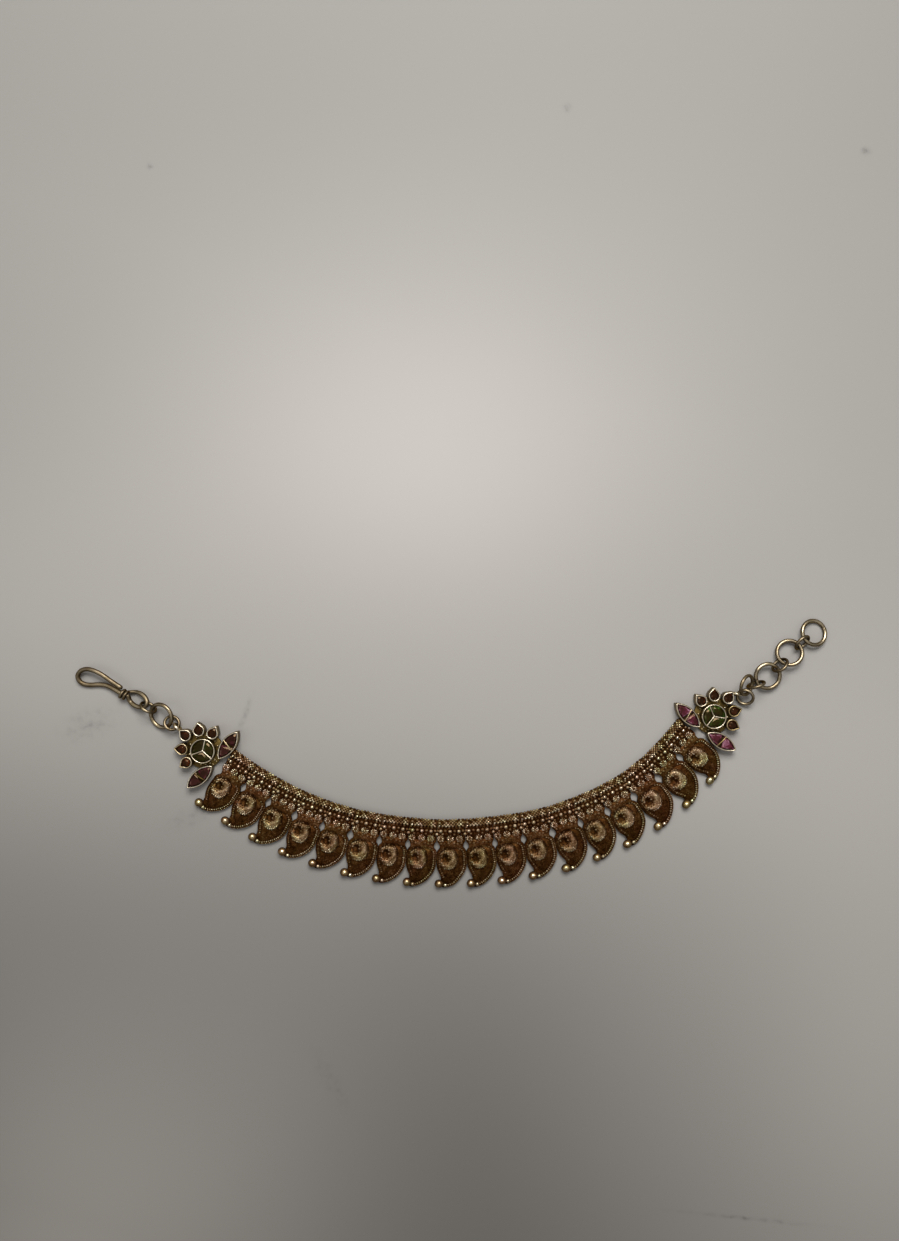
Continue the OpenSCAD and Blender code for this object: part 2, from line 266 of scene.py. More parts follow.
        # distance to the outside, height and tone of each corner of the section
        section = [(w, low, foot), (w, high - 0.32, foot), (w - slope, high - 0.12, 0.85),
                   (w - slope - 0.05, high - 0.03, 1), (0, high, 1),
                   (-w + slope + 0.05, high - 0.03, 1), (-w + slope, high - 0.12, 0.8),
                   (-w, high - 0.4, foot * 0.6), (-w, low, 0.2)]
        pts = np.vstack([np.column_stack([p + n * x, np.full(m, z)]) for x, z, _ in section])
        tones = np.repeat([s[2] for s in section], m) * tone
        self.add(pts, quad_grid(len(section), m, wrap_rows=True), tone=tones)


@functools.cache
def globe(seg, rings):
    """Unit ball as points, quads and the triangles at its poles."""
    pts = [(0, 0, 1)]
    for i in range(1, rings):
        a = math.pi * i / rings
        for k in range(seg):
            b = 2 * math.pi * k / seg
            pts.append((math.sin(a) * math.cos(b), math.sin(a) * math.sin(b), math.cos(a)))
    pts.append((0, 0, -1))
    quads = [[1 + i * seg + k, 1 + (i + 1) * seg + k, 1 + (i + 1) * seg + (k + 1) % seg,
              1 + i * seg + (k + 1) % seg] for i in range(rings - 2) for k in range(seg)]
    last, base = len(pts) - 1, 1 + (rings - 2) * seg
    tris = [[0, 1 + k, 1 + (k + 1) % seg] for k in range(seg)]
    tris += [[last, base + (k + 1) % seg, base + k] for k in range(seg)]
    return np.array(pts, float), np.array(quads), np.array(tris)


def wavy(points, seed, reach):
    """A smooth uneven displacement of hand-finished metal, in millimetres."""
    r = np.random.RandomState(seed)
    out = np.zeros_like(points)
    for frequency, amount in ((1.7, 1.0), (3.1, 0.6), (5.3, 0.35)):
        for _ in range(3):
            d = r.normal(size=3)
            d *= frequency / np.linalg.norm(d)
            out += (amount * np.sin(points @ d + r.uniform(0, 6.3)))[:, None] * r.normal(size=3)
    return out * reach / 3


def place(points, at=(0, 0, 0), rotation=None):
    """Local millimetres to metres in the row frame."""
    p = np.asarray(points, float)
    if rotation is not None:
        p = p @ rotation.T
    return (p + np.asarray(at, float) - MIDDLE) * MM


def piece(name, points, faces, material, nodes, slot, smooth=True, **values):
    """One visible piece: stands for its CAD nodes and rides on the body. values: one per point."""
    mesh = bpy.data.meshes.new(name)
    mesh.from_pydata(points.tolist(), [], faces)
    mesh.validate()
    mesh.polygons.foreach_set("use_smooth", [smooth] * len(mesh.polygons))
    mesh.materials.append(material)
    mesh.update()
    # how far each point faces up: the materials paint what faces sideways or down darker, as
    # painted shade
    normals = np.empty(3 * len(mesh.vertices), np.float32)
    mesh.vertex_normals.foreach_get("vector", normals)
    for key, value in (*values.items(), ("upward", normals[2::3].copy())):
        layer = mesh.attributes.new(key, "FLOAT", "POINT")
        layer.data.foreach_set("value", np.asarray(value, np.float32))
    obj = bpy.data.objects.new(name, mesh)
    scene.collection.objects.link(obj)
    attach(obj, "root")
    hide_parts(*nodes)


# Materials

def set_stops(node, stops):
    """Positions and colours of a colour ramp."""
    marks = node.color_ramp.elements
    while len(marks) < len(stops):
        marks.new(0.5)
    for mark, (at, colour) in zip(marks, stops):
        mark.position = at
        mark.color = (*colour, 1)


class Shader:
    """Short hand for a material's nodes."""

    def __init__(self, name):
        self.material = bpy.data.materials.new(name)
        self.material.use_nodes = True
        self.nodes = self.material.node_tree.nodes
        self.links = self.material.node_tree.links
        self.bsdf = self.nodes["Principled BSDF"]
        self.coords = self.new("ShaderNodeTexCoord").outputs["Object"]

    def new(self, kind, **inputs):
        """Node with values or links on the named sockets."""
        node = self.nodes.new(kind)
        for key, value in inputs.items():
            self.put(node.inputs[key.replace("_", " ")], value)
        return node

    def put(self, socket, value):
        """Links a socket to another, or sets its constant; a colour has three numbers."""
        if isinstance(value, bpy.types.NodeSocket):
            self.links.new(value, socket)
        elif socket.type == "RGBA":
            socket.default_value = (*value, 1)
        else:
            socket.default_value = value

    def attribute(self, name):
        node = self.nodes.new("ShaderNodeAttribute")
        node.attribute_name = name
        return node.outputs["Fac"]

    def noise(self, scale, detail, where=None):
        node = self.new("ShaderNodeTexNoise", Scale=scale, Detail=detail, Roughness=0.5)
        self.links.new(where or self.coords, node.inputs["Vector"])
        return node.outputs["Fac"]

    def math(self, op, a, b=0.5, c=0.5):
        node = self.nodes.new("ShaderNodeMath")
        node.operation = op
        for socket, value in zip(node.inputs, (a, b, c)):
            self.put(socket, value)
        return node.outputs[0]

    def span(self, value, low, high, to_low=0.0, to_high=1.0):
        """The value's place between low and high, kept between to_low and to_high."""
        node = self.nodes.new("ShaderNodeMapRange")
        for socket, v in zip(node.inputs, (value, low, high, to_low, to_high)):
            self.put(socket, v)
        return node.outputs[0]

    def ramp(self, value, stops):
        node = self.nodes.new("ShaderNodeValToRGB")
        set_stops(node, stops)
        self.put(node.inputs[0], value)
        return node.outputs[0]

    def mix(self, amount, a, b, how="MIX"):
        node = self.nodes.new("ShaderNodeMix")
        node.data_type = "RGBA"
        node.blend_type = how
        sockets = {s.identifier: s for s in node.inputs}
        for key, value in (("Factor_Float", amount), ("A_Color", a), ("B_Color", b)):
            self.put(sockets[key], value)
        return next(s for s in node.outputs if s.identifier == "Result_Color")

    def bump(self, height, strength, distance):
        node = self.new("ShaderNodeBump", Strength=strength, Distance=distance, Height=height)
        self.links.new(node.outputs[0], self.bsdf.inputs["Normal"])

    def set(self, **values):
        """Values of the surface; returns the finished material."""
        for key, value in values.items():
            self.put(self.bsdf.inputs[key.replace("_", " ")], value)
        return self.material


def antique_gold():
    """Worn, oxidised gold: patina in the recesses, painted shade on the sides, bright on what
    stands out.
    """
    s = Shader("antique_gold")
    # painted shade: darker as the surface turns from facing up to facing sideways or down
    lit = s.span(s.attribute("upward"), -0.15, 0.75, 0.3, 1.0)
    mottled = s.span(s.noise(1300, 4), 0.3, 0.7, -0.11, 0.11)
    grain = s.span(s.noise(5200, 2), 0.3, 0.7, -0.13, 0.13)
    wear_and_light = s.math("ADD", s.math("MULTIPLY", s.attribute("tone"), lit),
                  s.math("ADD", mottled, grain))
    gold = s.ramp(wear_and_light, [(0.0, (0.028, 0.009, 0.002)), (0.25, (0.118, 0.049, 0.016)),
                         (0.5, (0.33, 0.205, 0.110)), (0.75, (0.59, 0.455, 0.31)),
                         (1.0, (0.92, 0.83, 0.69))])
    hue = s.ramp(s.attribute("tint"), [(0.0, (1.0, 0.84, 0.80)), (0.5, (1.0, 0.97, 0.88)),
                                       (1.0, (0.92, 1.0, 0.72))])
    colour = s.mix(1.0, gold, hue, "MULTIPLY")
    pitted = s.math("ADD", s.noise(3600, 3), s.math("MULTIPLY", s.noise(9000, 2), 0.5))
    s.bump(pitted, 0.5, 0.00007)
    rough = s.span(wear_and_light, 0.5, 1.0, 0.58, 0.2)
    return s.set(Base_Color=colour, Metallic=1.0, Roughness=rough)


def bright_gold():
    """Handled, pale gold wire with fine scratches, painted shade along its sides."""
    s = Shader("bright_gold")
    stretch = s.new("ShaderNodeMapping", Scale=(1.0, 0.16, 0.5))
    s.links.new(s.coords, stretch.inputs["Vector"])
    dirt = s.span(s.noise(900, 4), 0.45, 0.75)
    clean = s.mix(dirt, (0.75, 0.63, 0.43), (0.56, 0.445, 0.25))
    patchy = s.span(s.noise(420, 2), 0.35, 0.65, 0.55, 1.2)
    # painted shade: mixed towards dark where the wire faces sideways or down
    lit = s.math("MULTIPLY", s.span(s.attribute("upward"), 0.25, 0.95),
                 s.math("MULTIPLY", s.attribute("tone"), patchy))
    colour = s.mix(lit, (0.085, 0.052, 0.022), clean)
    scratches = s.noise(7000, 2, where=stretch.outputs[0])
    s.bump(s.math("ADD", scratches, s.noise(1700, 3)), 0.04, 0.00003)
    dull = s.span(s.attribute("tone"), 0.34, 0.7, 0.5, 0.3)
    rough = s.math("ADD", dull, s.span(s.noise(1500, 3), 0.3, 0.7, -0.05, 0.07))
    return s.set(Base_Color=colour, Metallic=1.0, Roughness=rough,
                 Specular_Tint=(0.7, 0.55, 0.34))


def bezel_gold():
    """The plates: polished lips over a yellow, slightly dirty ground."""
    s = Shader("bezel_gold")
    # painted shade: darker as the surface turns from facing up to facing sideways or down
    lit = s.span(s.attribute("upward"), -0.1, 0.7, 0.4, 1.0)
    mottled = s.span(s.noise(1100, 4), 0.3, 0.7, -0.10, 0.10)
    wear_and_light = s.math("ADD", s.math("MULTIPLY", s.attribute("tone"), lit), mottled)
    colour = s.ramp(wear_and_light, [(0.0, (0.035, 0.018, 0.006)), (0.4, (0.22, 0.15, 0.045)),
                           (0.7, (0.56, 0.43, 0.22)), (1.0, (0.97, 0.86, 0.66))])
    s.bump(s.noise(3200, 3), 0.3, 0.00006)
    rough = s.span(wear_and_light, 0.2, 1.0, 0.5, 0.3)
    return s.set(Base_Color=colour, Metallic=1.0, Roughness=rough)


def gem(name, cut, stops):
    """Foil-backed stone: painted patches of light and dark stand for the facets seen through the
    table.
    """
    s = Shader(name)
    cells = s.new("ShaderNodeTexVoronoi", Scale=cut, Vector=s.coords)
    patch = s.new("ShaderNodeSeparateColor")
    s.links.new(cells.outputs["Color"], patch.inputs[0])
    facet = s.math("MULTIPLY", s.attribute("facet"), 0.75)
    glow = s.math("MULTIPLY_ADD", patch.outputs[0], 0.4, facet)
    cloudy = s.math("ADD", glow, s.span(s.noise(1500, 3), 0.3, 0.7, -0.1, 0.1))
    colour = s.ramp(cloudy, stops)
    s.bump(s.noise(2600, 2), 0.1, 0.00004)
    return s.set(Base_Color=colour, Metallic=0.0, Roughness=0.1, IOR=1.6,
                 Specular_IOR_Level=0.38, Specular_Tint=(1.0, 0.7, 0.42))


GOLD = antique_gold()
WIRE = bright_gold()
BEZEL = bezel_gold()
GARNET = gem("garnet", 1100, [(0.0, (0.008, 0.002, 0.0005)), (0.5, (0.021, 0.006, 0.002)),
                              (0.85, (0.062, 0.015, 0.005)), (1.0, (0.22, 0.05, 0.015))])
GREEN = gem("green_stone", 1000, [(0.0, (0.008, 0.005, 0.0005)), (0.42, (0.020, 0.015, 0.001)),
                                  (0.75, (0.022, 0.050, 0.005)), (1.0, (0.12, 0.25, 0.04))])
PURPLE = gem("purple_stone", 900, [(0.0, (0.010, 0.002, 0.001)), (0.4, (0.040, 0.009, 0.010)),
                                   (0.75, (0.125, 0.018, 0.042)), (1.0, (0.38, 0.18, 0.26))])

# Mango link: x runs along the ridge, y up to it

EDGE = [
    (0, -3.8), (1.2, -3.88), (2.1, -4.3), (2.52, -5), (2.66, -5.7), (2.69, -6.5), (2.69, -7.6),
    (2.36, -8.8), (1.63, -9.95), (0.68, -10.88), (-0.4, -11.5), (-1.5, -11.75), (-2.15, -11.3),
    (-1.9, -10.4), (-1.92, -9.6), (-2.27, -8.8), (-2.54, -7.9), (-2.59, -6.9), (-2.58, -5.8),
    (-2.42, -5), (-2.05, -4.3), (-1.15, -3.88)]
THROAT = [(-2.42, -3), (2.42, -3), (2.38, -3.4), (2.18, -4), (2.24, -4.6), (-2.2, -4.6),
          (-2.14, -4), (-2.36, -3.4)]
# half width of a mango at its widest
HALF_REACH = 2.69
# the leaf's pit, and the middle and half axes of its rim
PIT = np.array([-1.32, -6.05])
LEAF_MIDDLE, LEAF_HALF = np.array([-0.42, -6.4]), np.array([1.68, 2.08])
# rows of granules on the leaf: distance from the pit to the rim, 0 to 1, and tone
LEAF_ROWS = ((0.3, 0.22), (0.44, 0.38), (0.57, 0.54), (0.7, 0.6), (0.82, 0.54), (0.91, 0.4))
# the middles of the three large granules and of the three flowers
GRANULES_X, FLOWERS_X = (-1.82, -0.2, 1.38), (-1.8, -0.2, 1.38)


def uneven_grid(rows, columns, seed):
    """Smooth random field over turn (repeating) and radius, both 0 to 1, from -1 to 1."""
    grid = np.random.RandomState(seed).uniform(-1, 1, (rows, columns))

    def at(turn_part, radius_part):
        i, j = turn_part * rows, min(radius_part, 0.999) * (columns - 1)
        a, b = int(i), int(j)
        f, h = i - a, j - b
        p, q = grid[a % rows], grid[(a + 1) % rows]
        return (1 - f) * ((1 - h) * p[b] + h * p[b + 1]) + f * ((1 - h) * q[b] + h * q[b + 1])
    return at


def leaf_ray(a):
    """From the pit: direction, reach to the rim and how whole the leaf is there."""
    d = np.array([math.cos(a), math.sin(a)])
    e, f = (PIT - LEAF_MIDDLE) / LEAF_HALF, d / LEAF_HALF
    reach = (-e @ f + math.sqrt((e @ f) ** 2 - (f @ f) * (e @ e - 1))) / (f @ f)
    gap = (a - math.radians(193) + math.pi) % (2 * math.pi) - math.pi
    return d, reach, 1 - 0.9 * math.exp(-(gap / 0.95) ** 2)


def leaf_height(u, reach, whole):
    """Rise, 0 to 1, and height of the leaf at the part u of the way to its rim."""
    inner, outer = min(1, u / 0.6), max(0, (u - 0.68) / 0.32)
    rise = (3 - 2 * inner) * inner * inner * (1 - outer ** 1.9)
    return rise, 0.8 + 0.86 * min(1.0, 0.3 + reach / 2.4) * (0.4 + 0.6 * whole) * rise


def leaf_dome(g):
    """Plump leaf curled round a small pit, open to the left, chased with rows of granules."""
    around, steps = 180, 18
    strokes = uneven_grid(29, 5, 5)
    pts, tones = [], []
    for k in range(around):
        d, reach, whole = leaf_ray(2 * math.pi * k / around)
        for i in range(1, steps + 1):
            u = i / steps
            rise, z = leaf_height(u, reach, whole)
            stroke = strokes(k / around, u) * min(1, u / 0.4) * (1 - max(0, (u - 0.7) / 0.3) ** 2)
            glow = 0.1 + 0.14 * rise + 0.33 * math.exp(-((u - 0.7) / 0.26) ** 2) + 0.1 * stroke
            # painted shade: the leaf is darker on its side towards the ridge
            glow *= (0.25 + 0.75 * whole) * (1 - 0.3 * max(0, d[1]))
            tones.append(0.05 + (glow - 0.05) * min(1, 0.2 + u / 0.4))
            x, y = PIT + d * reach * u
            pts.append((x, y, z + 0.05 * stroke))
    pts.append((*PIT, 0.82))
    tones.append(0.05)
    tris = [[around * steps, q * steps, ((q + 1) % around) * steps] for q in range(around)]
    rim = [q * steps + steps - 1 for q in range(around)][::-1]
    quads = quad_grid(around, steps, wrap_rows=True, wrap_columns=False)
    g.add(pts, quads, tris, faces=[rim], tone=np.clip(tones, 0, 1))
    wear = np.random.RandomState(8)
    for row, (u, glow) in enumerate(LEAF_ROWS):
        a = 0.11 * row
        while a < 2 * math.pi:
            d, reach, whole = leaf_ray(a)
            a += 0.33 / (reach * u)
            if whole > 0.42:
                x, y = PIT + d * reach * (u + wear.uniform(-0.025, 0.025))
                # painted shade: these granules too are darker on the side towards the ridge
                shine = (glow * (0.4 + 0.6 * whole) * (1 - 0.3 * max(0, d[1]))
                         + wear.uniform(-0.28, 0.34))
                z = leaf_height(u, reach, whole)[1] + 0.02
                g.ball((x, y, z), 0.15 + wear.uniform(-0.02, 0.02), tone=shine, seg=8, rings=5)


def ridge(g):
    """Tube over the wire, covered with small granules."""
    y, z, half = 0.2, 0.82, 2.4
    g.tube([(-half, y, z), (-1, y, z), (1, y, z), (half, y, z)], 0.62, tone=0.1, seg=22)
    wear = np.random.RandomState(3)
    for row, angle in enumerate((14, 44, 74, 104, 134)):
        c, s = math.cos(math.radians(angle)), math.sin(math.radians(angle))
        for i in range(8):
            x = -2.06 + 0.59 * i + (0.295 if row % 2 else 0)
            if x < 2.2:
                # painted light and shade: granules on top of the tube are lighter, those on its
                # side towards the top edge darker
                g.ball((x, y + 0.61 * c, z + 0.59 * s), 0.235, seg=9, rings=6,
                       tone=0.45 + 0.12 * s - 0.09 * c + wear.uniform(-0.34, 0.46))
    for x in (-half + 0.06, half - 0.06):
        ring = [(x, y + 0.66 * math.cos(t), z + 0.66 * math.sin(t))
                for t in np.linspace(0, 2 * math.pi, 22, endpoint=False)]
        g.tube(ring, 0.12, tone=0.3, seg=8, closed=True)


def flower(g, centre, r, wear):
    """Small round flower: a ball covered with fine granules."""
    g.ball(centre, r, tone=0.2, seg=14, rings=8)
    for away, count in ((0, 1), (40, 6), (74, 10)):
        for k in range(count):
            a, b = math.radians(away), 2 * math.pi * (k + away / 148) / count
            d = np.array([math.sin(a) * math.cos(b), math.sin(a) * math.sin(b), math.cos(a)])
            g.ball(centre + d * r, 0.17, tone=0.84 + wear.uniform(-0.5, 0.4), seg=7, rings=5)


def granules(g, places, radius, tone):
    """Plain small granules at x, y, z."""
    for at in places:
        g.ball(at, radius, tone=tone, seg=10, rings=6)


def neck(g):
    """Dark ground under rows of granules and three small flowers, and the smooth throat."""
    ground = [(-2.42, -3.02), (2.42, -3.02), (2.42, -0.2), (-2.42, -0.2)]
    g.slab(ground, 0.22, 0.9, tone=0.06)
    g.slab(even(THROAT, 0.2), 0.25, 0.86, tone=0.2, top_tone=0.2, crown=0.05)
    for i in range(8):
        granules(g, [(-2.2 + 0.62 * i, -0.62, 0.98)], 0.23, 0.22 + 0.32 * (i % 3 == 0))
    for x in GRANULES_X:
        g.ball((x, -1.3, 1.02), 0.36, tone=0.9)
    granules(g, [(x, -1.22, 0.9) for x in (-2.3, -1.0, 0.6, 2.1)], 0.26, 0.52)
    g.ball((2.4, -1.82, 0.92), 0.3, tone=0.78)
    for i in range(7):
        granules(g, [(-2.15 + 0.66 * i, -1.86, 0.92)], 0.22, 0.2 + 0.3 * (i % 3 == 1))
    wear = np.random.RandomState(7)
    for x in FLOWERS_X:
        flower(g, np.array([x, -2.7, 0.64]), 0.54, wear)
    granules(g, [(-1.85, -3.5, 0.9), (-1.2, -3.62, 0.9), (-0.5, -3.5, 0.9), (0.45, -3.5, 0.9),
                 (1.1, -3.62, 0.9), (1.8, -3.48, 0.9)], 0.22, 0.46)


def beads(g, loop, step, radii, height, tone, keep):
    """Milgrain along a closed line, brighter on the side away from the hook."""
    line = even(loop, step)
    for n, (q, d) in enumerate(zip(line, outward(line))):
        if keep(q):
            a = math.degrees(math.atan2(d[1], d[0]))
            g.ball((q[0], q[1], height), radii, seg=9, rings=6, axes=turn(0, 14, a),
                   tone=tone + 0.15 * d[0] - 0.06 * d[1] + 0.07 * (-1) ** n)


def mango(g):
    """Ground, smooth inner floor, milgrain border, leaf dome and tail."""
    edge = even(catmull(EDGE, 6), 0.25)
    g.slab(edge, 0.08, 0.8, soft=0.14, tone=0.16, top_tone=0.12)
    inner = even(inset(edge, 0.76), 0.2)
    inner = inner[(inner[:, 1] > -10.8) & ~((inner[:, 0] < -0.9) & (inner[:, 1] < -9.4))]
    g.slab(inner, 0.6, 0.84, soft=0.1, tone=0.16, top_tone=0.15, crown=0.16)
    beads(g, inset(edge, 0.5), 0.38, (0.17, 0.15, 0.24), 0.98, 0.5,
          lambda q: q[1] < -4.5 and not (q[0] < -1.2 and q[1] < -9.7))
    beads(g, inset(edge, 0.13), 0.32, (0.12, 0.12, 0.14), 0.8, 0.26,
          lambda q: q[1] < -4.9 and not (q[0] < -1.3 and q[1] < -9.9))
    leaf_dome(g)
    g.ball((-1.62, -5.22, 1.32), (0.42, 0.17, 0.2), tone=0.66, axes=turn(0, 0, 38))
    g.ball((-1.3, -7.35, 1.15), (0.2, 0.3, 0.2), tone=0.56)
    # painted highlight: the tail ball's tone peaks in a small spot facing up and a little towards
    # the ridge, darker round it
    shine = 0.44 + 0.56 * np.clip(globe(30, 18)[0] @ (0.0, 0.26, 0.965), 0, 1) ** 24
    g.ball((-2.2, -10.95, 0.8), 0.76, tone=shine, seg=30, rings=18)
    g.ball((-1.16, -11.12, 1.08), 0.33, tone=0.82, seg=14, rings=8)


def fitted(points, left, right):
    """Widens a mango to its neighbours, which fan out; left and right are the turns to them."""
    depth = np.clip(-points[:, 1], 0, 6.5)
    east = np.interp(depth, (0, 2.9, 4.0, 5.0, 5.7, 6.5), (2.4, 2.44, 2.1, 2.5, 2.64, HALF_REACH))
    west = np.interp(depth, (0, 2.9, 4.0, 5.0, 5.8, 6.5), (2.4, 2.44, 2.1, 2.4, 2.56, 2.57))
    reach = np.where(points[:, 0] < 0, west, east)
    room = [np.minimum(PITCH / 2 + depth * math.tan(math.radians(a / 2)) - 0.015,
                       1.1 * HALF_REACH) for a in (left, right)]
    room = np.where(points[:, 0] < 0, *room)
    window = np.interp(depth, (2.9, 3.5, 4.5, 5.2), (0, 1, 1, 0))
    below = np.clip(-points[:, 1] / 0.3, 0, 1)
    out = points.copy()
    out[:, 0] *= 1 + below * (1 - window) * (np.maximum(room / reach, 1) - 1)
    return out


# the turn to the plates, past the first and the last link
END_TURN = 5
LOWEST = 0.04
# seeds of the first link's unevenness; each further link adds one
SHAPE_SEED, TONE_SEED, TINT_SEED = 40, 90, 140

link = Parts()
ridge(link)
neck(link)
mango(link)
link_points, link_tones, link_faces = link.data()
for i, h in enumerate(HEADINGS):
    name = f"{i + 1:02d}"
    left = h - HEADINGS[i - 1] if i else END_TURN
    right = HEADINGS[i + 1] - h if i < len(HEADINGS) - 1 else END_TURN
    uneven = fitted(link_points, left, right) + wavy(link_points, SHAPE_SEED + i, 0.035)
    uneven[:, 2] = np.maximum(uneven[:, 2], LOWEST)
    centre = (BAND[i] + BAND[i + 1]) / 2
    # painted light: the ends of the band are painted brighter than its middle; the rows of the neck
    # are made darker than the ridge and the mango
    wear_and_light = 0.28 * ((i - 8) / 9) ** 2
    gain = np.interp(link_points[:, 1], (-4.2, -3.2, -0.6, 0),
                     (1.03 + wear_and_light, 0.85 + wear_and_light, 0.85 + wear_and_light, 1 + wear_and_light / 3))
    tone = link_tones + wavy(link_points, TONE_SEED + i, 0.06)[:, 0]
    tone = tone * (1 + (gain - 1) * np.clip((tone - 0.15) / 0.15, 0, 1))
    # the ridge and the tail ball are greener than the mango, the neck is pinker
    green = np.interp(link_points[:, 1], (-10.6, -10, -8, -5, -3, -0.5, 0.3, 0.9),
                      (0.15, 0.0, 0.05, 0.05, -0.15, -0.1, 0.1, 0.3))
    tint = green + rng.uniform(0.38, 0.7) + wavy(link_points, TINT_SEED + i, 0.4)[:, 1]
    piece("mango_link_" + name, place(uneven, centre, turn(0, 0, h)), link_faces, GOLD,
          ["mango_" + name], "antique_gold", tone=tone, tint=tint)

# Flower plates

# side, middle, outward heading, bail (x, y, z, turn, radius), painted light of its green and of
# its purple stones, and tone of the bar across each leaf and of the lip round each petal, the
# lips' tones holding painted shade
PLATES = (("left", (-45.76, 0.42, 0), 138, (6.45, 0, 1.1, 0, 0.8), -0.3, -0.28, (0.2, 0.75),
           (1.1, 0.76, 1.15, 0.84, 1.1)),
          ("right", (47.88, 6.74, 0), 52, (5.93, -0.91, 1.15, -62, 0.85), -0.02, 0.22, (0.75, 0.5),
           (1.1, 1.15, 0.66, 1.15, 0.66)))
# angle and distance of each petal
PETALS = ((0, 4.25), (37, 3.8), (-37, 3.8), (77, 3.65), (-77, 3.65))
# granules between the bezels and along the side to the band: angles, then the distance,
# height, radius and tone of each one there
PLATE_GRANULES = (
    ((18.5, -18.5, 57, -57), ((2.75, 0.72, 0.26, 0.8), (3.35, 0.6, 0.2, 0.7))),
    ((98, -98, 120, -120, 140, -140, 158, -158, 180), ((2.62, 0.72, 0.24, 0.75),)),
    ((150, 165, 180, 195, 210), ((3.08, 0.62, 0.22, 0.65),)))
# heights: under the plates, the floor of the bezels and their lips
PLATE_LOW, BEZEL_FLOOR, BEZEL_TOP = 0.04, 1.42, 2.12


def teardrop(r, tip, n=30):
    """Round drop with its point along x."""
    a = math.acos(min(1, r / tip)) - 0.05
    arc = np.linspace(a, 2 * math.pi - a, n)
    back = [(r * math.cos(t), r * math.sin(t)) for t in arc]
    side = [(tip + (r * math.cos(a) - tip) * k / 5, r * math.sin(a) * k / 5) for k in range(5)]
    return np.array(side + back + [(x, -y) for x, y in side[:0:-1]])


def lens(half, width, n=18):
    """Leaf outline with pointed ends on the x axis."""
    r = (half ** 2 + width ** 2) / (2 * width)
    top = math.asin(half / r)
    a = np.linspace(-top, top, n)
    up = [(r * math.sin(t), r * math.cos(t) - r + width) for t in a]
    return np.array(up + [(x, -y) for x, y in up[-2:0:-1]])


def shifted(points, at=(0, 0), deg=0.0, mirror=False):
    """Flat points turned, moved and mirrored about x."""
    p = np.array(points, float)
    c, s = math.cos(math.radians(deg)), math.sin(math.radians(deg))
    p = p @ np.array([[c, s], [-s, c]]) + np.array(at)
    if mirror:
        p = (p * [1, -1])[::-1]
    return p


def on_petal(points, angle, away):
    """Flat points from a petal's middle to the plate."""
    return shifted(np.asarray(points) + [away, 0], deg=angle)


def on_leaf(points, side):
    """Flat points from a leaf's middle to the plate; side is 1 or -1."""
    return shifted(points, (-2.76, 3.88), 83, mirror=side < 0)


def plate(bail, bars, lips):
    """Backing, bezels with their dividers, granules and the bail."""
    g = Parts()
    g.slab(circle(3.4, 64), PLATE_LOW, 0.6, tone=0.35, top_tone=0.36)
    g.slab(circle(2.28, 48), 0.3, BEZEL_FLOOR, tone=0.3, top_tone=0.15)
    g.wall(circle(2.15, 72), 0.3, 0.45, BEZEL_TOP, tone=1.0)
    for a in (60, 180, 300):
        bar = [(r, 0, 1.86) for r in (0.0, 0.7, 1.4, 2.1)]
        g.tube(np.array(bar) @ turn(0, 0, a).T, (0.15, 0.13, 0.13, 0.17), tone=0.95)
    g.ball((0, 0, 1.92), (0.24, 0.24, 0.18), tone=1.0)
    # painted shade: each petal's lip has its own tone, painted darker on petals that face down or
    # to the side
    for (angle, away), lip in zip(PETALS, lips):
        ground = on_petal(teardrop(1.02, 1.46), angle, away)
        g.slab(ground, PLATE_LOW, BEZEL_FLOOR, tone=0.4, top_tone=0.12)
        rim = on_petal(teardrop(0.94, 1.38), angle, away)
        g.wall(rim, 0.32, 0.3, BEZEL_TOP - 0.05, tone=lip)
    for side, tone in zip((1, -1), bars):
        g.slab(on_leaf(lens(3.05, 1.3), side), PLATE_LOW, BEZEL_FLOOR, tone=0.45, top_tone=0.12)
        g.wall(on_leaf(lens(2.93, 1.235, 22), side), 0.3, 0.3, BEZEL_TOP - 0.02, tone=1.02)
        across = on_leaf([(0.34 * -k, 1.19 * k) for k in (-1, -0.5, 0, 0.5, 1)], side)
        g.tube(np.column_stack([across, [1.94, 2.04, 2.08, 2.04, 1.94]]), 0.14, tone=tone)
    for angles, rows in PLATE_GRANULES:
        for a in angles:
            for away, z, r, tone in rows:
                g.ball(heading_dir(a) * away + [0, 0, z], r, tone=tone)
    t = np.linspace(0, 2 * math.pi, 40, endpoint=False)
    loop = np.column_stack([bail[4] * np.cos(t), 0 * t, bail[4] * np.sin(t)])
    g.tube(loop @ turn(0, 0, bail[3]).T + bail[:3], 0.28, tone=0.9, seg=14, closed=True)
    return g.data()


